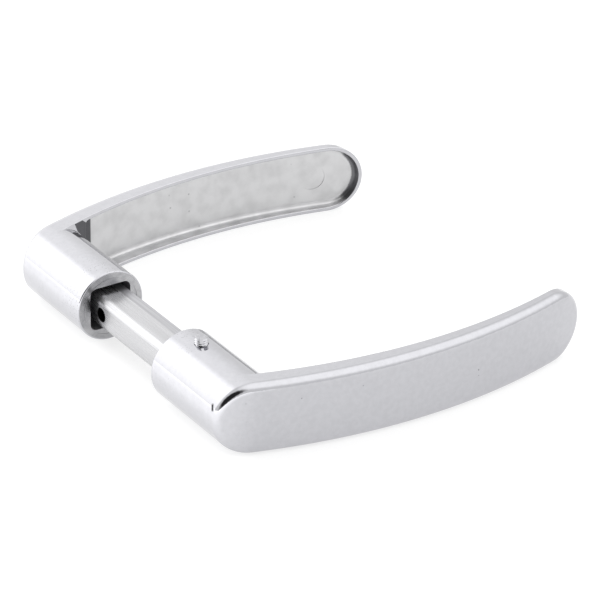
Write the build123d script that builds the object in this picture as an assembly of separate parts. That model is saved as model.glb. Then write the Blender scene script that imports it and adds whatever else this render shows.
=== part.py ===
"""Lever handle pair on a square split spindle.

Two equal die-cast levers face each other on one square bar. Each lever is a
round neck with a square socket, and a curved grip with an open back. A grub
screw in each neck clamps the lever to the bar.

Frame, in millimetres: Y is the spindle axis, X runs along the grips towards
their tips, Z is up. The origin is on the spindle axis, midway between the two
neck mouths. The front lever is on the -Y side.
"""
from build123d import *
import math
import os

# ---------------------------------------------------------------- assembly
MOUTH_GAP = 35.0             # between the two neck mouths

# ---------------------------------------------------------------- neck
NECK_D = 19.0
NECK_REACH = 32.4            # mouth to outer face, on the neck axis
MOUTH_EDGE_R = 0.4           # rounding of the mouth's outer edge

# ---------------------------------------------------------------- grip
GRIP_REACH = 97.1            # neck axis to grip tip
GRIP_TIP_WIDTH = 19.3        # the grip grows from the neck's width to this
GRIP_ARC_R = 153.7           # radius of the outer face, seen from above
GRIP_ROOT_SLOPE = 18.3       # degrees, slope of the outer face at the neck axis
GRIP_ROOT_THICKNESS = 5.9
GRIP_TIP_THICKNESS = 3.6
GRIP_EDGE_R = 2.1            # rounding all round the outer face

# ---------------------------------------------------------------- open back of the grip
RIM_WIDTH = 1.1              # rim round the open back
FLOOR_THICKNESS = 1.6        # floor of the open back
BACK_NECK_WALL = 0.6         # casting left between the neck and the open back
BACK_ROOT_FILLET = 3.4       # large fillet at the neck end of the floor
BACK_FLOOR_FILLET = 1.2      # round the rest of the floor
RIM_EDGE_R = 0.3             # rounding of both edges of the rim
EJECTOR_MARK_D = 7.0
EJECTOR_MARK_DEPTH = 0.12
EJECTOR_MARK_X = 84.3        # from the neck axis

# ---------------------------------------------------------------- spindle
SPINDLE_SIZE = 9.0           # across the flats
SPINDLE_CORNER_R = 2.0       # drawn corners of the wide half
SPINDLE_ENGAGE = 20.0        # length of bar inside each neck
SPLIT_X = 1.6                # where the bar is split lengthwise
SPLIT_GAP = 0.08
NARROW_HALF_DROP = 0.2       # the narrow half is this much lower, each side
NARROW_HALF_CORNER_R = 0.5
SPINDLE_END_CHAMFER = 0.6
CROSS_HOLE_D = 3.8
CROSS_HOLE_SETBACK = 3.1     # in front of the rear mouth

# ---------------------------------------------------------------- socket
SOCKET_CLEARANCE = 0.15      # each side of the bar
SOCKET_CORNER_R = 0.8
SOCKET_DEPTH = 26.0
LEAD_IN_CLEARANCE = 1.35     # each side of the bar, in the wide mouth of the socket
LEAD_IN_DEPTH = 5.0
LEAD_IN_CORNER_R = 1.9
CORE_RING_INSET = 1.8        # witness groove of the round core, in from the neck's side
CORE_RING_WIDTH = 0.16
CORE_RING_DEPTH = 0.12

# ---------------------------------------------------------------- grub screw
SCREW_D = 3.5
SCREW_CLEARANCE = 0.05       # radial, to the hole's wall
SCREW_SETBACK = 8.0          # screw axis to the neck mouth
SCREW_PROUD = 1.7            # the front screw is backed off by this much
SCREW_SEAT_GAP = 0.05        # tip to bar when driven home
SCREW_SLOT_WIDTH = 0.9
SCREW_SLOT_DEPTH = 1.1
SCREW_POINT_CHAMFER = 0.4
SCREW_TOP_CHAMFER = 0.25
FRONT_SLOT_ANGLE = -34.0     # degrees from the neck axis
REAR_SLOT_ANGLE = -20.0

# ---------------------------------------------------------------- derived
neck_r = NECK_D / 2
tip_r = GRIP_TIP_WIDTH / 2
mouth_y = MOUTH_GAP / 2
root_sin = -math.sin(math.radians(GRIP_ROOT_SLOPE))
arc_x = -GRIP_ARC_R * root_sin
arc_y = -NECK_REACH + GRIP_ARC_R * math.cos(math.radians(GRIP_ROOT_SLOPE))
tip_sin = (GRIP_REACH - arc_x) / GRIP_ARC_R
tall = 4 * GRIP_TIP_WIDTH    # taller than the lever, for cutting tools
screw_length = neck_r - SPINDLE_SIZE / 2 - SCREW_SEAT_GAP

# The grip's inner face is an arc of the outer face's radius. Its centre is
# shifted along the grip, so the grip gets thinner towards its tip.
inner_shift = (GRIP_ROOT_THICKNESS - GRIP_TIP_THICKNESS) / (tip_sin - root_sin)
inner_depth = GRIP_ROOT_THICKNESS + inner_shift * root_sin


def arc_disc(depth, shift=0.0):
    """Upright disc whose rim lies `depth` inside the grip's outer face."""
    return Pos(arc_x + shift, arc_y, 0) * Cylinder(GRIP_ARC_R - depth, tall)


def lies_on_arc(edge, depth, shift=0.0):
    """True for an edge of the face that `arc_disc` cuts with the same numbers."""
    points = [edge @ t for t in (0.0, 0.3, 0.6, 1.0)]
    radii = [math.hypot(p.X - arc_x - shift, p.Y - arc_y) for p in points]
    return all(abs(r - GRIP_ARC_R + depth) < 0.01 for r in radii)


def grip_outline(inset):
    """Long rounded outline, seen along the neck: two arcs and their two tangents."""
    tip_x = GRIP_REACH - tip_r
    root, tip = neck_r - inset, tip_r - inset
    normal_x = -(tip_r - neck_r) / tip_x
    normal_z = math.sqrt(1 - normal_x**2)
    root_point = (root * normal_x, root * normal_z)
    tip_point = (tip_x + tip * normal_x, tip * normal_z)
    upper = Line(root_point, tip_point)
    lower = mirror(upper, Plane.XZ)
    tip_arc = ThreePointArc(upper @ 1, (tip_x + tip, 0), lower @ 1)
    root_arc = ThreePointArc(lower @ 0, (-root, 0), upper @ 0)
    return Plane.XZ * make_face(upper + tip_arc + lower + root_arc)


def prism(outline, length):
    """Stretch an outline away from the mouth plane, along -Y."""
    return extrude(outline, amount=length, dir=(0, -1, 0))


def rounded_square_bar(size, corner_r, length):
    """Square bar along -Y from the mouth plane."""
    return prism(Plane.XZ * RectangleRounded(size, size, corner_r), length)


def lever_blank():
    """Neck and solid grip, rounded all round the outer face."""
    reach = 2 * NECK_REACH
    neck = prism(Plane.XZ * Circle(neck_r), reach)
    grip = prism(grip_outline(0), reach) - arc_disc(inner_depth, inner_shift)
    blank = (neck + grip) & arc_disc(0)
    blank = fillet(blank.edges().filter_by(lambda e: lies_on_arc(e, 0)), GRIP_EDGE_R)
    mouth = blank.faces().sort_by(Axis.Y)[-1]
    return fillet(mouth.edges(), MOUTH_EDGE_R)


def open_back():
    """Tool that hollows the back of the grip down to its floor."""
    tool = prism(grip_outline(RIM_WIDTH), 2 * NECK_REACH) & arc_disc(FLOOR_THICKNESS)
    clear_of_neck = Box(2 * GRIP_REACH, 4 * NECK_REACH, tall, align=(Align.MIN, Align.CENTER, Align.CENTER))
    tool = tool & Pos(neck_r + BACK_NECK_WALL, 0, 0) * clear_of_neck
    floor_edges = tool.edges().filter_by(lambda e: lies_on_arc(e, FLOOR_THICKNESS))
    tool = fillet(floor_edges.sort_by(Axis.X)[0], BACK_ROOT_FILLET)
    floor_edges = tool.edges().filter_by(lambda e: lies_on_arc(e, FLOOR_THICKNESS))
    return fillet(floor_edges.sort_by(Axis.X)[1:], BACK_FLOOR_FILLET)


def ejector_mark():
    """Shallow round print of the ejector pin in the floor of the open back."""
    disc = prism(Plane.XZ * Pos(EJECTOR_MARK_X, 0) * Circle(EJECTOR_MARK_D / 2), 2 * NECK_REACH)
    return disc & arc_disc(FLOOR_THICKNESS - EJECTOR_MARK_DEPTH)


def socket():
    """Square socket with a wide lead-in at the mouth."""
    deep = rounded_square_bar(SPINDLE_SIZE + 2 * SOCKET_CLEARANCE, SOCKET_CORNER_R, SOCKET_DEPTH)
    wide = rounded_square_bar(SPINDLE_SIZE + 2 * LEAD_IN_CLEARANCE, LEAD_IN_CORNER_R, LEAD_IN_DEPTH)
    return deep + wide


def core_ring():
    """Fine witness groove round the socket, in the mouth face."""
    ring_r = neck_r - CORE_RING_INSET
    outer = Plane.XZ * Circle(ring_r + CORE_RING_WIDTH / 2)
    inner = Plane.XZ * Circle(ring_r - CORE_RING_WIDTH / 2)
    return prism(outer - inner, CORE_RING_DEPTH)


def screw_hole():
    """Hole for the grub screw, from the top of the neck into the socket."""
    hole = Cylinder(SCREW_D / 2 + SCREW_CLEARANCE, NECK_D, align=(Align.CENTER, Align.CENTER, Align.MIN))
    return Pos(0, -SCREW_SETBACK, 0) * hole


def lever():
    """One lever with its neck mouth in the XZ plane and its screw hole on top."""
    hollow = lever_blank() - open_back()
    rim_edges = hollow.edges().filter_by(lambda e: lies_on_arc(e, inner_depth, inner_shift))
    hollow = fillet(rim_edges, RIM_EDGE_R)
    return hollow - ejector_mark() - socket() - core_ring() - screw_hole()


def grub_screw(slot_angle):
    """Slotted grub screw standing along Z, with its tip at z = 0."""
    body = Cylinder(SCREW_D / 2, screw_length, align=(Align.CENTER, Align.CENTER, Align.MIN))
    body = chamfer(body.edges().filter_by(GeomType.CIRCLE).sort_by(Axis.Z)[0], SCREW_POINT_CHAMFER)
    body = chamfer(body.edges().filter_by(GeomType.CIRCLE).sort_by(Axis.Z)[-1], SCREW_TOP_CHAMFER)
    slot = Box(SCREW_SLOT_WIDTH, 2 * SCREW_D, 2 * SCREW_SLOT_DEPTH)
    return body - Pos(0, 0, screw_length) * Rot(0, 0, slot_angle) * slot


def spindle_bar():
    """Full square bar with its cross hole, centred on the origin."""
    length = MOUTH_GAP + 2 * SPINDLE_ENGAGE
    bar = extrude(Plane.XZ * Rectangle(SPINDLE_SIZE, SPINDLE_SIZE), amount=length / 2, both=True)
    hole_y = mouth_y - CROSS_HOLE_SETBACK
    hole = Pos(0, hole_y, 0) * Rot(0, 90, 0) * Cylinder(CROSS_HOLE_D / 2, 2 * SPINDLE_SIZE)
    ends = bar.faces().filter_by(Axis.Y)
    return chamfer(ends.edges(), SPINDLE_END_CHAMFER) - hole


def side_block(x_low, x_high, height):
    """Long block between two x values, for cutting one half out of the bar."""
    width = x_high - x_low
    length = MOUTH_GAP + 4 * SPINDLE_ENGAGE
    return Pos((x_low + x_high) / 2, 0, 0) * Box(width, length, height)


def long_corner_edges(solid, x):
    """The lengthwise edges of a bar at one side."""
    edges = solid.edges().filter_by(Axis.Y)
    return edges.filter_by(lambda e: abs(e.center().X - x) < 0.01)


def spindle_wide_half():
    """The wide half of the split bar, with rounded outer corners."""
    half_size = SPINDLE_SIZE / 2
    half = spindle_bar() & side_block(-half_size, SPLIT_X, SPINDLE_SIZE)
    return fillet(long_corner_edges(half, -half_size), SPINDLE_CORNER_R)


def spindle_narrow_half():
    """The narrow half of the split bar, a little lower than the wide one."""
    half_size = SPINDLE_SIZE / 2
    height = SPINDLE_SIZE - 2 * NARROW_HALF_DROP
    half = spindle_bar() & side_block(SPLIT_X + SPLIT_GAP, half_size, height)
    return fillet(long_corner_edges(half, half_size), NARROW_HALF_CORNER_R)


front_lever = Pos(0, -mouth_y, 0) * lever()
turn_over = Rot(180, 0, 0)
screw_y = mouth_y + SCREW_SETBACK
driven_home_z = SPINDLE_SIZE / 2 + SCREW_SEAT_GAP
parts = {
    "front_lever": front_lever,
    "rear_lever": turn_over * front_lever,
    "spindle_wide_half": spindle_wide_half(),
    "spindle_narrow_half": spindle_narrow_half(),
    "front_grub_screw": Pos(0, -screw_y, driven_home_z + SCREW_PROUD) * grub_screw(FRONT_SLOT_ANGLE),
    "rear_grub_screw": turn_over * Pos(0, -screw_y, driven_home_z) * grub_screw(REAR_SLOT_ANGLE),
}

os.makedirs("parts", exist_ok=True)
for name, shape in parts.items():
    export_step(shape, f"parts/{name}.step")
    print(name, "volume", round(shape.volume, 1), "mm3", "solids", len(shape.solids()))
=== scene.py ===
# %% [markdown]
# # A chromed pair of door levers
#
# Two die-cast levers face each other on one square steel bar. The casting is
# zinc, polished and plated with bright chromium, so its look is almost only
# reflections: the light matters as much as the shape. This lesson loads the
# measured parts, sets the camera, gives every face the finish it has on the
# real lever, cuts a real thread on the grub screws, and builds the light last.

import math

import bmesh
import bpy
from mathutils import Matrix, Vector


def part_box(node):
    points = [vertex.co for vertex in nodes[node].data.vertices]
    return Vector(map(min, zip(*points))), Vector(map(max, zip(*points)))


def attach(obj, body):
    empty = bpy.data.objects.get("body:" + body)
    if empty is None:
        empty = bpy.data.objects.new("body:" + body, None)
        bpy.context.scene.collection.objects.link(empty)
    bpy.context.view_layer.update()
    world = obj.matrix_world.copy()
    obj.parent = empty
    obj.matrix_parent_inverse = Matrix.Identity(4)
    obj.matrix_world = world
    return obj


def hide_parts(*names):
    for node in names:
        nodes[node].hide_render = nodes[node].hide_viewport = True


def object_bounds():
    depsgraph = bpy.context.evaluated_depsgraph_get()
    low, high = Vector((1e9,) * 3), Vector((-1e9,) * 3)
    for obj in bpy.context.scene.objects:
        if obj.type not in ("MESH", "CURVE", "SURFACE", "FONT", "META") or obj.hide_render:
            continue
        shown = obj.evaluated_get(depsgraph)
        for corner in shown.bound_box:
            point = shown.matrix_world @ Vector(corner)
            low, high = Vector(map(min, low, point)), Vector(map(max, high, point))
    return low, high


MM = 0.001

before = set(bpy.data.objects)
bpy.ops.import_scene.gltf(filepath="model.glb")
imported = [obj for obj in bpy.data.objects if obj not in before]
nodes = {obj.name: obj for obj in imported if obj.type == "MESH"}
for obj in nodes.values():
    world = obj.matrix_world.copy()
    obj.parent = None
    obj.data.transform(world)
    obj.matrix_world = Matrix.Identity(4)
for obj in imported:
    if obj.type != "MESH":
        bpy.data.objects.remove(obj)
cad_low, cad_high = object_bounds()
print("nodes:", sorted(nodes), "size mm:", [round(v / MM, 1) for v in cad_high - cad_low])

# %% [markdown]
# ## Camera
# The camera looks down on the pair from the front left. A long lens keeps the
# perspective mild, as in a catalogue picture. A camera could be placed by its
# coordinates, but an azimuth and an elevation are easier to think about, so it
# sits on a sphere round the spindle's middle and then moves sideways in its
# own picture plane to frame the pair.

# %% Camera
VIEW_AZIMUTH, VIEW_ELEVATION, VIEW_ROLL = -34.325, 28.256, 1.18
VIEW_DISTANCE = 752.6 * MM
VIEW_RIGHT, VIEW_UP = 38.02 * MM, 8.44 * MM
LENS, FILM_WIDTH = 182.19, 36  # a camera's own sizes are in millimetres
NEAREST, FARTHEST = 10 * MM, 50000 * MM


def direction(azimuth, elevation):
    """Unit vector from the object towards a viewer or a lamp, angles in degrees."""
    a, e = math.radians(azimuth), math.radians(elevation)
    return Vector((math.sin(a) * math.cos(e), -math.cos(a) * math.cos(e), math.sin(e)))


def add_camera():
    back = direction(VIEW_AZIMUTH, VIEW_ELEVATION)
    level_right = Vector((0, 0, 1)).cross(back).normalized()
    level_up = back.cross(level_right)
    roll = math.radians(VIEW_ROLL)
    right = level_right * math.cos(roll) + level_up * math.sin(roll)
    up = level_up * math.cos(roll) - level_right * math.sin(roll)
    camera = bpy.data.objects.new("camera", bpy.data.cameras.new("camera"))
    bpy.context.scene.collection.objects.link(camera)
    camera.matrix_world = Matrix((right, up, back)).transposed().to_4x4()
    camera.location = back * VIEW_DISTANCE + right * VIEW_RIGHT + up * VIEW_UP
    camera.data.lens, camera.data.sensor_width = LENS, FILM_WIDTH
    camera.data.clip_start, camera.data.clip_end = NEAREST, FARTHEST
    bpy.context.scene.camera = camera
    return camera


camera = add_camera()
print("camera at mm", [round(v / MM) for v in camera.location])

# %% [markdown]
# ## Helpers for every material and node tree
# A shader socket expects linear light, but colours are easier to pick as sRGB
# hex values, so one function turns the one into the other. Nodes could be
# made and linked one line at a time, which takes four lines for each. Here
# one function adds a node, sets its properties and fills its inputs, so a
# tree reads like a formula. It serves the materials, the sky and the screws.

# %% Colour and node helpers
MIX_FIRST, MIX_SECOND, MIXED = 6, 7, 2  # the colour sockets of a Mix node share their names with others


def linear(hex_colour):
    """sRGB hex to linear RGBA, which is what shader sockets expect."""
    channels = [int(hex_colour[i : i + 2], 16) / 255 for i in (1, 3, 5)]
    flat = [c / 12.92 if c <= 0.04045 else ((c + 0.055) / 1.055) ** 2.4 for c in channels]
    return (*flat, 1.0)


def fill(tree, node, values):
    """Fill inputs by name or place. A value is a number, a vector, an sRGB hex
    colour, a socket, or a node whose first output is meant."""
    for place, value in values.items():
        if isinstance(value, bpy.types.Node):
            value = value.outputs[0]
        if isinstance(value, bpy.types.NodeSocket):
            tree.links.new(value, node.inputs[place])
        else:
            node.inputs[place].default_value = linear(value) if isinstance(value, str) else value


def add_node(tree, kind, *values, **settings):
    """Add one node, set its properties, and fill its inputs in order or from one dict."""
    node = tree.nodes.new(kind)
    for name, setting in settings.items():
        setattr(node, name, setting)
    in_order = not (values and isinstance(values[0], dict))
    fill(tree, node, dict(enumerate(values)) if in_order else values[0])
    return node


def layered(tree, colour, *layers):
    """One colour with others laid over it in turn, each where its mask is 1."""
    for mask, over in layers:
        mix = {0: mask, MIX_FIRST: colour, MIX_SECOND: over}
        colour = add_node(tree, "ShaderNodeMix", mix, data_type="RGBA").outputs[MIXED]
    return colour


def new_metal(name):
    """A bare metal material, its tree, its shader and its Texture Coordinate node."""
    material = bpy.data.materials.new(name)
    material.use_nodes = True
    tree = material.node_tree
    shader = tree.nodes["Principled BSDF"]
    shader.inputs["Metallic"].default_value = 1.0
    return material, tree, shader, add_node(tree, "ShaderNodeTexCoord")


print("helpers ready, mid grey in linear light:", round(linear("#808080")[0], 3))

# %% [markdown]
# ## Flaws in the casting
# A die casting is never perfect, and the plate follows every flaw. Gas that
# reached the skin leaves tiny pits, most of them near the parting line at half
# height. Dust on the polished zinc makes fine specks on the neck, thickest
# near its mouth. And one cold shut, where two streams of metal met, marks the
# front lever's shoulder. They could be modelled, but they are shallower than
# a hair, so each is a mask that says where the plate is marked: cells of a
# Voronoi pattern for pits and specks, a short capsule for the cold shut.
#
# A Map Range node here takes a value, the start and end of a ramp, and what it
# gives at those two ends.

# %% Gas pits
PIT_SPACING = 2.6 * MM
PIT_SHARE = 0.12  # about one cell in eight holds a pit
PIT_BAND = (2 * MM, 7 * MM)  # above the parting line: all pits, no pits


def gas_pits(tree, spot, at):
    cells = add_node(tree, "ShaderNodeTexVoronoi", {"Vector": spot, "Scale": 1 / PIT_SPACING})
    lot = add_node(tree, "ShaderNodeSeparateColor", cells.outputs["Color"])
    above = add_node(tree, "ShaderNodeMath", at.outputs["Z"], operation="ABSOLUTE")
    dent = add_node(tree, "ShaderNodeMapRange", cells, 0.03, 0.085, 1, 0)
    drawn = add_node(tree, "ShaderNodeMapRange", lot, PIT_SHARE, PIT_SHARE + 0.01, 1, 0)
    near = add_node(tree, "ShaderNodeMapRange", above, *PIT_BAND, 1, 0)
    pit = add_node(tree, "ShaderNodeMath", dent, drawn, operation="MULTIPLY")
    return add_node(tree, "ShaderNodeMath", pit, near, operation="MULTIPLY")


print("pit spacing mm", PIT_SPACING / MM)

# %% Dust under the plate
DUST_SPACING, DUST_PATCH = 0.6 * MM, 6 * MM
MOUTH_Y = 17.5 * MM  # from the middle of the pair to each neck's mouth
DUST_BEHIND_MOUTH, DUST_LEFT = (2 * MM, 16 * MM), 0.15  # thickest to here, this share left from here
NECK_SIDE = (8 * MM, 11 * MM)  # the dust ends on the grip's side of the neck


def dust_specks(tree, spot, at):
    dots = add_node(tree, "ShaderNodeTexVoronoi", {"Vector": spot, "Scale": 1 / DUST_SPACING})
    patches = add_node(tree, "ShaderNodeTexNoise", {"Vector": spot, "Scale": 1 / DUST_PATCH, "Detail": 2.0})
    along = add_node(tree, "ShaderNodeMath", at.outputs["Y"], operation="ABSOLUTE")
    from_mouth = add_node(tree, "ShaderNodeMath", along, MOUTH_Y, operation="SUBTRACT")
    speck = add_node(tree, "ShaderNodeMapRange", dots, 0.1, 0.28, 1, 0)
    for limit in (
        add_node(tree, "ShaderNodeMapRange", patches, 0.38, 0.58, 0, 1),
        add_node(tree, "ShaderNodeMapRange", from_mouth, *DUST_BEHIND_MOUTH, 1, DUST_LEFT),
        add_node(tree, "ShaderNodeMapRange", at.outputs["X"], *NECK_SIDE, 1, 0),
    ):
        speck = add_node(tree, "ShaderNodeMath", speck, limit, operation="MULTIPLY")
    return speck


print("dust spacing mm", DUST_SPACING / MM)

# %% Cold shut on the front shoulder
COLD_SHUT_AT = Vector((-8.75, -44.4, 3.6)) * MM
COLD_SHUT_ALONG = Vector((-0.5, -0.8, -1.3)).normalized()
COLD_SHUT_HALF_WIDTH = (0.25 * MM, 0.45 * MM)  # dark to here, gone from here
COLD_SHUT_HALF_LENGTH = (0.6 * MM, 1.1 * MM)


def cold_shut(tree, spot):
    away = add_node(tree, "ShaderNodeVectorMath", spot, COLD_SHUT_AT, operation="SUBTRACT")
    along = add_node(tree, "ShaderNodeVectorMath", away, COLD_SHUT_ALONG, operation="DOT_PRODUCT")
    across = add_node(tree, "ShaderNodeVectorMath", away, COLD_SHUT_ALONG, operation="CROSS_PRODUCT")
    aside = add_node(tree, "ShaderNodeVectorMath", across, operation="LENGTH")
    reach = add_node(tree, "ShaderNodeMath", along.outputs["Value"], operation="ABSOLUTE")
    narrow = add_node(tree, "ShaderNodeMapRange", aside.outputs["Value"], *COLD_SHUT_HALF_WIDTH, 1, 0)
    short = add_node(tree, "ShaderNodeMapRange", reach, *COLD_SHUT_HALF_LENGTH, 1, 0)
    return add_node(tree, "ShaderNodeMath", narrow, short, operation="MULTIPLY")


print("cold shut at mm", [round(v / MM, 2) for v in COLD_SHUT_AT])

# %% [markdown]
# ## Bright chromium plate
# Chromium reflects only a little more than half of the light, in a neutral
# grey with a faint cool cast. It is electroplated over polished zinc, so it is
# a near mirror, and a plain mirror looks like computer glass. Polishing leaves
# a soft waviness of one or two millimetres, which eyes read as metal that was
# buffed by hand. Noise makes the waviness, the uneven haze and a faint mottle.

# %% Bright chromium plate
WAVE_LENGTH, WAVE_HEIGHT = 1.6 * MM, 0.006 * MM
HAZE_SIZE, MOTTLE_SIZE = 9 * MM, 1.4 * MM
FLAW_DEPTH, SPECK_HEIGHT = 6, 1.6  # in wave heights
SPECK_TINT = 0.8


def bright_chromium_plate():
    material, tree, shader, place = new_metal("bright_chromium_plate")
    spot = place.outputs["Object"]
    at = add_node(tree, "ShaderNodeSeparateXYZ", spot)
    pits, shut = gas_pits(tree, spot, at), cold_shut(tree, spot)
    flaw = add_node(tree, "ShaderNodeMath", pits, shut, operation="MAXIMUM")
    speck = dust_specks(tree, spot, at)

    waves = add_node(tree, "ShaderNodeTexNoise", {"Vector": spot, "Scale": 1 / WAVE_LENGTH, "Detail": 2.0})
    sunk = add_node(tree, "ShaderNodeMath", flaw, FLAW_DEPTH, operation="MULTIPLY")
    raised = add_node(tree, "ShaderNodeMath", speck, SPECK_HEIGHT, operation="MULTIPLY")
    relief = add_node(tree, "ShaderNodeMath", waves, sunk, operation="SUBTRACT")
    relief = add_node(tree, "ShaderNodeMath", relief, raised, operation="ADD")
    bump = add_node(tree, "ShaderNodeBump", {"Height": relief, "Distance": WAVE_HEIGHT})

    haze = add_node(tree, "ShaderNodeTexNoise", {"Vector": spot, "Scale": 1 / HAZE_SIZE, "Detail": 4.0})
    dullness = add_node(tree, "ShaderNodeMapRange", haze, 0.35, 0.7, 0.03, 0.065)

    mottle = add_node(tree, "ShaderNodeTexNoise", {"Vector": spot, "Scale": 1 / MOTTLE_SIZE, "Detail": 7.0})
    cloud = add_node(tree, "ShaderNodeMapRange", mottle, 0.35, 0.65, 0, 1)
    tint = add_node(tree, "ShaderNodeMath", speck, SPECK_TINT, operation="MULTIPLY")
    plate = layered(tree, "#C1C1C5", (cloud, "#BDBDC1"), (tint, "#8E8E91"), (flaw, "#3A3A3C"))
    fill(tree, shader, {"Base Color": plate, "Roughness": dullness, "Normal": bump})
    return material


chrome = bright_chromium_plate()
print("chrome waviness mm", WAVE_LENGTH / MM, "height mm", WAVE_HEIGHT / MM)

# %% [markdown]
# ## Thin plate in the open back
# Plating is thin where little current reaches, and nobody polishes inside a
# hollow, so the open back of each grip shows the satin skin of the casting
# under a thin plate: paler and duller, with faint stains and a few specks. The
# corner by the neck and the steep wall at the tip get a dark grey, painted
# shade for the light that hardly reaches them. This could be a texture painted
# on an unwrapped surface.
# Rules on the piece's own coordinates are simpler, because each tone begins
# and ends where the casting does.

# %% Thin plate in the open back
STAIN_SIZE, SPECK_SPACING, SPECK_SHARE = 4 * MM, 3.1 * MM, 0.14
SKIN_GRAIN, SKIN_GRAIN_HEIGHT = 0.5 * MM, 0.012 * MM
SHADED_CORNER = (14.4 * MM, 14.7 * MM)  # from the neck axis: painted shade to here, none from here
TIP_WALL = (92 * MM, 93 * MM)


def thin_plate_on_cast_skin():
    material, tree, shader, place = new_metal("thinly_plated_cast_skin_and_shade")
    spot = place.outputs["Object"]
    at = add_node(tree, "ShaderNodeSeparateXYZ", spot)
    stains = add_node(tree, "ShaderNodeTexNoise", {"Vector": spot, "Scale": 1 / STAIN_SIZE, "Detail": 6.0})
    stain = add_node(tree, "ShaderNodeMapRange", stains, 0.42, 0.66, 0, 1)

    cells = add_node(tree, "ShaderNodeTexVoronoi", {"Vector": spot, "Scale": 1 / SPECK_SPACING})
    lot = add_node(tree, "ShaderNodeSeparateColor", cells.outputs["Color"])
    dot = add_node(tree, "ShaderNodeMapRange", cells, 0.03, 0.12, 1, 0)
    green = lot.outputs["Green"]
    drawn = add_node(tree, "ShaderNodeMapRange", green, SPECK_SHARE, SPECK_SHARE + 0.01, 0.7, 0)
    speck = add_node(tree, "ShaderNodeMath", dot, drawn, operation="MULTIPLY")

    corner = add_node(tree, "ShaderNodeMapRange", at, *SHADED_CORNER, 1, 0)
    facing = add_node(tree, "ShaderNodeSeparateXYZ", place.outputs["Normal"])
    towards_neck = add_node(tree, "ShaderNodeMapRange", facing, -0.5, -0.38, 1, 0)
    at_tip = add_node(tree, "ShaderNodeMapRange", at, *TIP_WALL, 0, 1)
    tip_wall_shade = add_node(tree, "ShaderNodeMath", towards_neck, at_tip, operation="MULTIPLY")

    # The corner by the neck and the tip wall are darkened as painted shade.
    painted_shade = ((corner, "#58585B"), (tip_wall_shade, "#747477"))
    skin = layered(tree, "#CDCDCE", (stain, "#C5C5C6"), (speck, "#8A8A8C"), *painted_shade)
    dullness = add_node(tree, "ShaderNodeMapRange", stains, 0.3, 0.7, 0.3, 0.44)
    grain = add_node(tree, "ShaderNodeTexNoise", {"Vector": spot, "Scale": 1 / SKIN_GRAIN, "Detail": 3.0})
    bump = add_node(tree, "ShaderNodeBump", {"Height": grain, "Distance": SKIN_GRAIN_HEIGHT})
    fill(tree, shader, {"Base Color": skin, "Roughness": dullness, "Normal": bump})
    return material


cast_skin = thin_plate_on_cast_skin()
print("made", cast_skin.name, "with stains of mm", STAIN_SIZE / MM)

# %% [markdown]
# ## Turned mouth
# The mouth of each neck is faced in a lathe, whose tool leaves fine rings. They
# could be cut as grooves, but they are too shallow to change the outline, so a
# Wave texture with rings round the neck's own axis lifts and darkens them, and
# noise smears them a little, as handling does.

# %% Turned mouth
RING_SPACING, RING_HEIGHT = 0.35 * MM, 0.008 * MM  # real feed marks are finer; this coarse so that they show
WAVE_PERIOD = math.pi / 10  # between the rings of a Wave texture of scale 1
SMEAR_SIZE = 2.2 * MM


def turned_zinc_face():
    material, tree, shader, place = new_metal("lathe_faced_zinc")
    spot = place.outputs["Object"]
    wave = {"Vector": spot, "Scale": WAVE_PERIOD / RING_SPACING, "Distortion": 0.6, "Detail": 1.0}
    rings = add_node(tree, "ShaderNodeTexWave", wave, wave_type="RINGS", rings_direction="Y").outputs["Fac"]
    smears = add_node(tree, "ShaderNodeTexNoise", {"Vector": spot, "Scale": 1 / SMEAR_SIZE, "Detail": 4.0})
    smear = add_node(tree, "ShaderNodeMapRange", smears, 0.4, 0.7, 0, 1)
    groove = add_node(tree, "ShaderNodeMath", rings, 0.4, operation="MULTIPLY")
    face = layered(tree, "#BCBCBE", (smear, "#A0A0A3"), (groove, "#7C7C7F"))
    bump = add_node(tree, "ShaderNodeBump", {"Height": rings, "Distance": RING_HEIGHT})
    fill(tree, shader, {"Base Color": face, "Roughness": 0.22, "Normal": bump})
    return material


mouth_zinc = turned_zinc_face()
print("made", mouth_zinc.name, "with rings every mm", RING_SPACING / MM)

# %% [markdown]
# ## Bare socket
# Inside the square socket the zinc is as it came from the die: rough and
# unplated. A ramp along the neck paints shade that grows darker with depth,
# where less light reaches, and fine noise gives the eye the grain of cast metal.

# %% Bare socket
DARK_FROM_MOUTH = 5 * MM
SOCKET_GRAIN, SOCKET_GRAIN_HEIGHT = 0.4 * MM, 0.03 * MM


def bare_zinc_socket():
    material, tree, shader, place = new_metal("bare_cast_zinc_and_shade")
    spot = place.outputs["Object"]
    at = add_node(tree, "ShaderNodeSeparateXYZ", spot)
    along = add_node(tree, "ShaderNodeMath", at.outputs["Y"], operation="ABSOLUTE")
    # Painted shade: the socket grows darker with depth behind the mouth.
    shade_with_depth = add_node(tree, "ShaderNodeMapRange", along, MOUTH_Y, MOUTH_Y + DARK_FROM_MOUTH, 0, 1)
    zinc = layered(tree, "#C6C6C8", (shade_with_depth, "#838386"))
    grain = add_node(tree, "ShaderNodeTexNoise", {"Vector": spot, "Scale": 1 / SOCKET_GRAIN, "Detail": 3.0})
    bump = add_node(tree, "ShaderNodeBump", {"Height": grain, "Distance": SOCKET_GRAIN_HEIGHT})
    fill(tree, shader, {"Base Color": zinc, "Roughness": 0.55, "Normal": bump})
    return material


socket_zinc = bare_zinc_socket()
print("made", socket_zinc.name)
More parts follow.
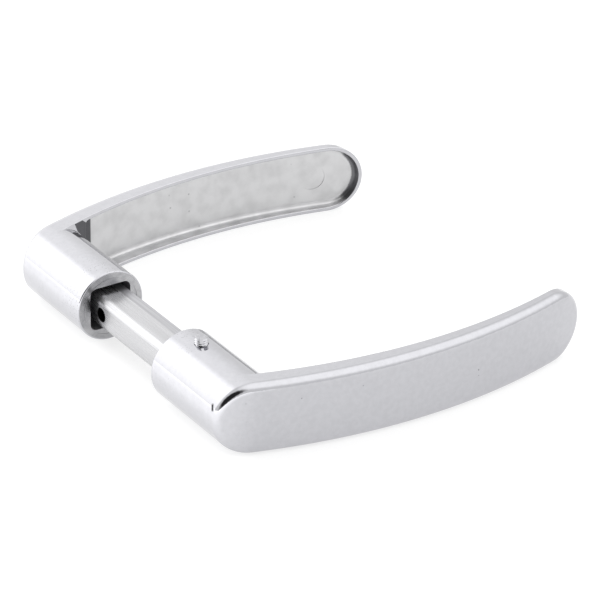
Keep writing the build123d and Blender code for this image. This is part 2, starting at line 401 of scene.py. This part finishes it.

# %% [markdown]
# ## Drawn steel
# The bar is split lengthwise: a wide half with rounded corners and a narrow
# half. Square bar is pulled through a die, which leaves long fine lines along
# it, and then it is zinc plated. Modelled scratches would cost many faces.
# Stretching a noise along the bar's axis draws the same lines. The narrow half
# has a darker base and a rougher finish than the wide half, and both halves
# keep their measured meshes.

# %% Drawn steel
LINE_WIDTH = 0.3 * MM  # real draw lines are finer; drawn as coarse as they need to show
LINE_LENGTH, LINE_HEIGHT = 30 * MM, 0.012 * MM
CROSS_HOLE_Y, CROSS_HOLE_R = 14.4 * MM, 1.9 * MM
HOLE_SHADE = (CROSS_HOLE_R + 0.02 * MM, CROSS_HOLE_R + 0.06 * MM)  # painted shade to here, none from here


def cross_hole_shade(tree, at):
    """1 on the wall of the cross hole, whose dark grey is painted shade inside the hole."""
    beside = add_node(tree, "ShaderNodeMath", at.outputs["Y"], CROSS_HOLE_Y, operation="SUBTRACT")
    beside = add_node(tree, "ShaderNodeMath", beside, 2, operation="POWER")
    above = add_node(tree, "ShaderNodeMath", at.outputs["Z"], 2, operation="POWER")
    squared = add_node(tree, "ShaderNodeMath", beside, above, operation="ADD")
    from_axis = add_node(tree, "ShaderNodeMath", squared, 0.5, operation="POWER")
    return add_node(tree, "ShaderNodeMapRange", from_axis, *HOLE_SHADE, 1, 0)


def drawn_steel(name, pale, dark, roughness):
    material, tree, shader, place = new_metal(name)
    spot = place.outputs["Object"]
    at = add_node(tree, "ShaderNodeSeparateXYZ", spot)
    stretch = (1 / LINE_WIDTH, 1 / LINE_LENGTH, 1 / LINE_WIDTH)
    stretched = add_node(tree, "ShaderNodeMapping", {"Vector": spot, "Scale": stretch})
    lines = add_node(tree, "ShaderNodeTexNoise", {"Vector": stretched, "Scale": 1.0, "Detail": 3.0})
    line = add_node(tree, "ShaderNodeMapRange", lines, 0.35, 0.65, 0, 1)
    # Dark grey on the cross hole's wall is painted shade.
    plate = layered(tree, pale, (line, dark), (cross_hole_shade(tree, at), "#3A3A3C"))
    dullness = add_node(tree, "ShaderNodeMapRange", lines, 0.3, 0.7, roughness - 0.05, roughness + 0.08)
    bump = add_node(tree, "ShaderNodeBump", {"Height": lines, "Distance": LINE_HEIGHT})
    fill(tree, shader, {"Base Color": plate, "Roughness": dullness, "Normal": bump})
    return material


bright_bar = drawn_steel("drawn_bright_steel", "#C8C8CA", "#BCBCBE", 0.26)
dull_bar = drawn_steel("drawn_dull_steel", "#BEBEC1", "#ABABAE", 0.34)
nodes["spindle_wide_half"].data.materials[0] = bright_bar
nodes["spindle_narrow_half"].data.materials[0] = dull_bar
print("bar halves:", bright_bar.name, dull_bar.name)

# %% [markdown]
# ## Turned steel
# The grub screws are turned and plated, so they are smoother than the bar. An
# even bright metal would do at arm's length; a little fine haze keeps the
# thread from glittering when it is seen from nearby.

# %% Turned steel
SCREW_HAZE = 0.6 * MM


def turned_bright_steel():
    material, tree, shader, place = new_metal("turned_bright_steel")
    spot = place.outputs["Object"]
    haze = add_node(tree, "ShaderNodeTexNoise", {"Vector": spot, "Scale": 1 / SCREW_HAZE, "Detail": 3.0})
    steel = layered(tree, "#C6C6C9", (haze, "#ABABAF"))
    dullness = add_node(tree, "ShaderNodeMapRange", haze, 0.3, 0.7, 0.1, 0.2)
    fill(tree, shader, {"Base Color": steel, "Roughness": dullness})
    return material


screw_steel = turned_bright_steel()
print("made", screw_steel.name)

# %% [markdown]
# ## Which finish a face has
# One casting shows four finishes, and a carried-over part takes one. The faces
# could be picked by hand, but a rebuilt part would lose the picks. A rule on
# where a face lies finds them again every time. The rear lever is the front
# one turned over, so places are worked out from the distance to its own mouth.

# %% Which finish a face has
NECK_R, TIP_R, GRIP_REACH = 9.5 * MM, 9.65 * MM, 97.1 * MM
CHROMED, THINLY_PLATED, TURNED, BARE = range(4)
INSIDE_NECK = NECK_R - 0.15 * MM  # nearer to the axis than the plated wall
SOCKET_END = 26.1 * MM  # behind the mouth, just past the socket's end
MOUTH_DEPTH = 0.13 * MM
MOUTH_INNER, MOUTH_OUTER = NECK_R - 4 * MM, NECK_R - 0.4 * MM
RIM_INNER = 1.05 * MM  # from the outline, just short of the rim's inner edge
BACK_START, CLEAR_OF_NECK = NECK_R - 2.2 * MM, NECK_R + 0.2 * MM
TOWARDS_MOUTH, ON_OUTER_FACE = 0.5, 0.3  # how far a normal leans along the neck's axis


def inset_from_outline(x, z):
    """How far a point lies inside the grip's long rounded outline."""
    tip_x = GRIP_REACH - TIP_R
    if x > tip_x:
        return TIP_R - math.hypot(x - tip_x, z)
    return NECK_R + (TIP_R - NECK_R) * x / tip_x - abs(z)


def on_outer_face(centre, normal):
    """True on the face of the grip that points away from the mouth."""
    return normal.y * centre.y > 0 and abs(normal.y) > ON_OUTER_FACE


def finish_of(centre, normal):
    behind_mouth = abs(centre.y) - MOUTH_Y
    from_axis = math.hypot(centre.x, centre.z)
    if from_axis < INSIDE_NECK and behind_mouth < SOCKET_END:
        if behind_mouth < MOUTH_DEPTH and from_axis > MOUTH_INNER and abs(normal.y) > TOWARDS_MOUTH:
            return TURNED if from_axis < MOUTH_OUTER else CHROMED
        return BARE
    inside_rim = inset_from_outline(centre.x, centre.z) > RIM_INNER
    past_neck = centre.x > BACK_START and from_axis > CLEAR_OF_NECK
    if inside_rim and past_neck and not on_outer_face(centre, normal):
        return THINLY_PLATED
    return CHROMED


print("grip reaches mm", GRIP_REACH / MM, "from the neck's axis")

# %% [markdown]
# ## Levers
# Each lever is a copy of the measured mesh. That mesh is loose triangles, so
# the copy's doubles are merged into one closed skin. Merging loses the smooth
# shading, so it is read first and set again. On the neck it is worked out
# instead, straight away from the axis: a mirror finish shows the least fault
# in a long thin triangle. Remodelling the lever would risk another size, and
# this way keeps every curve as it is.

# %% Lever pieces
NECK_TOLERANCE, ALONG_OUTWARD = 0.02 * MM, 0.97
MERGE_WITHIN = 0.0001 * MM


def true_neck_normals(mesh, shading):
    """Corner normals with the neck's own set straight out from its axis."""
    for face in mesh.polygons:
        for corner in face.loop_indices:
            spot = mesh.vertices[mesh.loops[corner].vertex_index].co
            outward = Vector((spot.x, 0, spot.z)).normalized()
            on_neck = abs(math.hypot(spot.x, spot.z) - NECK_R) < NECK_TOLERANCE
            if on_neck and face.normal.dot(outward) > ALONG_OUTWARD:
                shading[corner] = outward
    return shading


def lever_piece(name):
    mesh = nodes[name].data.copy()
    mesh.name = name + "_plated"
    shading = [corner.vector.copy() for corner in mesh.corner_normals]
    shell = bmesh.new()
    shell.from_mesh(mesh)
    bmesh.ops.remove_doubles(shell, verts=shell.verts, dist=MERGE_WITHIN)
    shell.to_mesh(mesh)
    shell.free()
    mesh.normals_split_custom_set(true_neck_normals(mesh, shading))
    mesh.materials.clear()
    for finish in (chrome, cast_skin, mouth_zinc, socket_zinc):
        mesh.materials.append(finish)
    count = [0, 0, 0, 0]
    for face in mesh.polygons:
        face.material_index = finish_of(face.center, face.normal)
        count[face.material_index] += 1
    piece = bpy.data.objects.new(mesh.name, mesh)
    bpy.context.scene.collection.objects.link(piece)
    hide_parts(name)
    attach(piece, name)
    print(name, "faces by finish:", dict(zip(("chrome", "open back", "mouth", "socket"), count)))


for name in ("front_lever", "rear_lever"):
    lever_piece(name)

# %% [markdown]
# ## Thread of a grub screw
# A slotted grub screw clamps each lever to the bar. The measured part is a
# plain cylinder of the thread's outer diameter, but a few turns of the front
# screw stand above the neck, so here the thread is real. A thread follows a
# rule, which suits Geometry Nodes: a flat grid is rolled up, one side running
# round the screw and the other along it. The radius at each point is the
# smallest of the thread's own V, the point's cone and the top's chamfer, and
# the grid's two ends close in the middle. A boolean then cuts the slot.

# %% Rolled thread
AROUND, ALONG, CAP = 73, 131, 0.04  # grid points, and the share of the grid that closes each end
WELD_WITHIN = 0.001 * MM


def rolled_thread(tree, size, grid):
    """The grid's points, rolled round the screw's axis and set to the thread's radius."""
    flat = add_node(tree, "GeometryNodeInputPosition")
    cell = add_node(tree, "ShaderNodeSeparateXYZ", flat)
    turn = add_node(tree, "ShaderNodeMath", cell.outputs["X"], 0.5, operation="ADD")
    rise = add_node(tree, "ShaderNodeMath", cell.outputs["Y"], 0.5, operation="ADD")

    share = add_node(tree, "ShaderNodeMapRange", rise, CAP, 1 - CAP, 0, 1)
    z = add_node(tree, "ShaderNodeMath", share, size["Length"], operation="MULTIPLY")
    wind = add_node(tree, "ShaderNodeMath", z, size["Pitch"], operation="DIVIDE")
    wind = add_node(tree, "ShaderNodeMath", wind, turn, operation="SUBTRACT")
    groove = add_node(tree, "ShaderNodeMath", wind, 0.5, operation="PINGPONG")
    groove = add_node(tree, "ShaderNodeMath", groove, 2, operation="MULTIPLY")
    depth = add_node(tree, "ShaderNodeMath", groove, size["Thread Depth"], operation="MULTIPLY")
    thread = add_node(tree, "ShaderNodeMath", size["Radius"], depth, operation="SUBTRACT")

    from_top = add_node(tree, "ShaderNodeMath", size["Length"], z, operation="SUBTRACT")
    radius = thread
    for from_end, chamfer in ((z, "Point Chamfer"), (from_top, "Top Chamfer")):
        end = add_node(tree, "ShaderNodeMath", size["Radius"], size[chamfer], operation="SUBTRACT")
        cone = add_node(tree, "ShaderNodeMath", from_end, end, operation="ADD")
        radius = add_node(tree, "ShaderNodeMath", radius, cone, operation="MINIMUM")
    from_other = add_node(tree, "ShaderNodeMath", 1.0, rise, operation="SUBTRACT")
    closing = add_node(tree, "ShaderNodeMath", rise, from_other, operation="MINIMUM")
    closing = add_node(tree, "ShaderNodeMath", closing, CAP, operation="DIVIDE")
    closing = add_node(tree, "ShaderNodeMath", closing, 1.0, operation="MINIMUM")
    radius = add_node(tree, "ShaderNodeMath", radius, closing, operation="MULTIPLY")

    angle = add_node(tree, "ShaderNodeMath", turn, math.tau, operation="MULTIPLY")
    cosine = add_node(tree, "ShaderNodeMath", angle, operation="COSINE")
    sine = add_node(tree, "ShaderNodeMath", angle, operation="SINE")
    x = add_node(tree, "ShaderNodeMath", radius, cosine, operation="MULTIPLY")
    y = add_node(tree, "ShaderNodeMath", radius, sine, operation="MULTIPLY")
    rolled = add_node(tree, "ShaderNodeCombineXYZ", x, y, z)
    body = add_node(tree, "GeometryNodeSetPosition", {"Geometry": grid, "Position": rolled})
    welded = add_node(tree, "GeometryNodeMergeByDistance", {"Geometry": body, "Distance": WELD_WITHIN})
    return add_node(tree, "GeometryNodeFlipFaces", welded)


print("grid points:", AROUND * ALONG)


# %% Slot cutter
def slot_cutter(tree, size):
    """A box across the screw's top, turned to the slot's angle."""
    blade_length = add_node(tree, "ShaderNodeMath", size["Radius"], 4, operation="MULTIPLY")
    blade_height = add_node(tree, "ShaderNodeMath", size["Slot Depth"], 2, operation="MULTIPLY")
    blade = add_node(tree, "ShaderNodeCombineXYZ", size["Slot Width"], blade_length, blade_height)
    box = add_node(tree, "GeometryNodeMeshCube", blade)
    lift = add_node(tree, "ShaderNodeCombineXYZ", {"Z": size["Length"]})
    spin = add_node(tree, "ShaderNodeCombineXYZ", {"Z": size["Slot Angle"]})
    return add_node(tree, "GeometryNodeTransform", {"Geometry": box, "Translation": lift, "Rotation": spin})


print("the slot is cut by a box four radii long")

# %% Screw tree
SIZES = ("Length", "Radius", "Pitch", "Thread Depth", "Point Chamfer", "Top Chamfer")
SIZES += ("Slot Width", "Slot Depth", "Slot Angle")


def grub_screw_tree():
    tree = bpy.data.node_groups.new("slotted_grub_screw", "GeometryNodeTree")
    kinds = {name: "NodeSocketFloat" for name in SIZES}
    kinds.update({"Foot": "NodeSocketVector", "Turn": "NodeSocketVector", "Metal": "NodeSocketMaterial"})
    for name, kind in kinds.items():
        tree.interface.new_socket(name, in_out="INPUT", socket_type=kind)
    tree.interface.new_socket("Geometry", in_out="OUTPUT", socket_type="NodeSocketGeometry")
    size = add_node(tree, "NodeGroupInput").outputs
    sides = {"Size X": 1.0, "Size Y": 1.0, "Vertices X": AROUND, "Vertices Y": ALONG}
    grid = add_node(tree, "GeometryNodeMeshGrid", sides)
    cut = {"Mesh 1": rolled_thread(tree, size, grid), "Mesh 2": slot_cutter(tree, size)}
    slotted = add_node(tree, "GeometryNodeMeshBoolean", cut, operation="DIFFERENCE", solver="EXACT")
    place = {"Geometry": slotted, "Translation": size["Foot"], "Rotation": size["Turn"]}
    real = add_node(tree, "GeometryNodeRealizeInstances", add_node(tree, "GeometryNodeTransform", place))
    metal = add_node(tree, "GeometryNodeSetMaterial", {"Geometry": real, "Material": size["Metal"]})
    add_node(tree, "NodeGroupOutput", metal)
    return tree


screw_tree = grub_screw_tree()
print("screw tree nodes:", len(screw_tree.nodes))

# %% [markdown]
# ## Grub screws
# A screw of 3.5 mm has a coarse pitch of 0.6 mm. Both screws come from the
# same tree with the same sizes. Only their place and the way the slot points
# differ, and the rear one is turned over. The modifier could stay live, but a
# plain mesh is safer to hand on, so its result is read once and kept.

# %% Grub screws
SCREW = {
    "Length": 4.95 * MM,
    "Radius": 1.745 * MM,
    "Pitch": 0.6 * MM,
    "Thread Depth": 0.32 * MM,
    "Point Chamfer": 0.4 * MM,
    "Top Chamfer": 0.25 * MM,
    "Slot Width": 0.9 * MM,
    "Slot Depth": 1.1 * MM,
    "Metal": screw_steel,
}
SHARP_FROM = math.radians(28)  # every edge of the thread and slot, but not the steps round it


def screw_mesh(name, values):
    """The screw tree's result as a plain mesh."""
    blank = bpy.data.objects.new(name + "_blank", bpy.data.meshes.new(name + "_blank"))
    bpy.context.scene.collection.objects.link(blank)
    modifier = blank.modifiers.new("thread", "NODES")
    modifier.node_group = screw_tree
    for item in screw_tree.interface.items_tree:
        if item.in_out == "INPUT":
            modifier[item.identifier] = values[item.name]
    mesh = bpy.data.meshes.new_from_object(blank.evaluated_get(bpy.context.evaluated_depsgraph_get()))
    bpy.data.objects.remove(blank)
    mesh.name = name + "_threaded"
    mesh.shade_smooth()
    mesh.set_sharp_from_angle(angle=SHARP_FROM)
    return mesh


def screw_piece(name, body, slot_angle, turned_over):
    low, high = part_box(name)
    middle = (low + high) / 2
    foot = Vector((middle.x, middle.y, high.z if turned_over else low.z))
    turn = (math.pi if turned_over else 0.0, 0.0, 0.0)
    mesh = screw_mesh(name, {**SCREW, "Slot Angle": math.radians(slot_angle), "Foot": foot, "Turn": turn})
    piece = bpy.data.objects.new(mesh.name, mesh)
    bpy.context.scene.collection.objects.link(piece)
    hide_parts(name)
    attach(piece, body)
    reach = max((v.co - foot).length for v in mesh.vertices)
    print(name, "faces", len(mesh.polygons), "reach mm", round(reach / MM, 2))


screw_piece("front_grub_screw", "front_screw", -34, False)
screw_piece("rear_grub_screw", "rear_screw", -20, True)

# %% [markdown]
# ## Light table
# Chrome shows the room, so the room is built with care. The pair lies on a
# table of opal acrylic that is lit from below: most of its light is its own,
# so what stands on it throws almost no shadow, and the undersides of the
# necks see a bright floor. The lamps under the table are stronger at its left
# end. A sheet of paper would show a dark shadow under every edge instead.

# %% Light table
TABLE_HALF = 6.0
TABLE_Z = cad_low.z - 0.02 * MM  # just clear of the lowest edge
TABLE_GLOW = 0.66
LAMP_ROWS = (
    # along the table: full up to here, gone from here, and the light it adds
    (-34 * MM, 0, 0.55),
    (-220 * MM, -34 * MM, 0.35),
)


def opal_acrylic():
    material = bpy.data.materials.new("opal_acrylic_lit_from_below")
    material.use_nodes = True
    tree = material.node_tree
    place = add_node(tree, "ShaderNodeTexCoord")
    at = add_node(tree, "ShaderNodeSeparateXYZ", place.outputs["Object"])
    glow = TABLE_GLOW
    for full, gone, added in LAMP_ROWS:
        row = add_node(tree, "ShaderNodeMapRange", at, full, gone, added, 0)
        glow = add_node(tree, "ShaderNodeMath", glow, row, operation="ADD")
    surface = {"Base Color": "#ADADAD", "Roughness": 1.0, "Specular IOR Level": 0.0}
    fill(tree, tree.nodes["Principled BSDF"], surface)
    fill(tree, tree.nodes["Principled BSDF"], {"Emission Color": "#FFFFFF", "Emission Strength": glow})
    return material


def add_light_table():
    mesh = bpy.data.meshes.new("light_table")
    corners = [(x * TABLE_HALF, y * TABLE_HALF, TABLE_Z) for x, y in ((-1, -1), (1, -1), (1, 1), (-1, 1))]
    mesh.from_pydata(corners, [], [(0, 1, 2, 3)])
    mesh.materials.append(opal_acrylic())
    table = bpy.data.objects.new("light_table", mesh)
    bpy.context.scene.collection.objects.link(table)


add_light_table()
print("light table at z mm", round(TABLE_Z / MM, 2))

# %% [markdown]
# ## Studio tent
# White cloth surrounds the table, with soft boxes behind it and one
# dark gap at the viewer's left. The gap is what draws the dark crescent on the
# shoulder of each lever: without something dark to mirror, chrome looks like
# white plastic. All of it could be built from area lamps and cards. Soft discs
# in the sky are simpler and have no edges to hide.

# %% Studio tent
TENT_LIGHT = 1.0
SOFTBOXES = (
    # azimuth, elevation, full inside, gone outside, added light
    (55, 62, 20, 55, 0.6),
    (-148, 20, 14, 36, 0.8),
    (-178, 22, 0, 46, 0.5),
)
DARK_GAP = (-58, 28, 20, 38, 0.03)  # the last value is the share of the light that is left


def soft_disc(tree, toward, azimuth, elevation, inner, outer, at_edge, at_middle):
    """A value that goes smoothly from at_edge to at_middle as a ray nears one direction."""
    aim = add_node(
        tree, "ShaderNodeVectorMath", toward, direction(azimuth, elevation), operation="DOT_PRODUCT"
    )
    edge, middle = math.cos(math.radians(outer)), math.cos(math.radians(inner))
    ramp = (aim.outputs["Value"], edge, middle, at_edge, at_middle)
    return add_node(tree, "ShaderNodeMapRange", *ramp, interpolation_type="SMOOTHSTEP")


def light_tent():
    world = bpy.data.worlds.new("studio_tent")
    bpy.context.scene.world = world
    world.use_nodes = True
    tree = world.node_tree
    toward = add_node(tree, "ShaderNodeTexCoord").outputs["Generated"]
    light = TENT_LIGHT
    for azimuth, elevation, inner, outer, added in SOFTBOXES:
        disc = soft_disc(tree, toward, azimuth, elevation, inner, outer, 0, added)
        light = add_node(tree, "ShaderNodeMath", light, disc, operation="ADD")
    azimuth, elevation, inner, outer, left = DARK_GAP
    shade = soft_disc(tree, toward, azimuth, elevation, inner, outer, 1, left)
    light = add_node(tree, "ShaderNodeMath", light, shade, operation="MULTIPLY")
    fill(tree, tree.nodes["Background"], {"Color": "#FFFFFF", "Strength": light})


light_tent()
bpy.context.scene.view_settings.view_transform = "Standard"
print("tent lit, soft boxes:", len(SOFTBOXES))
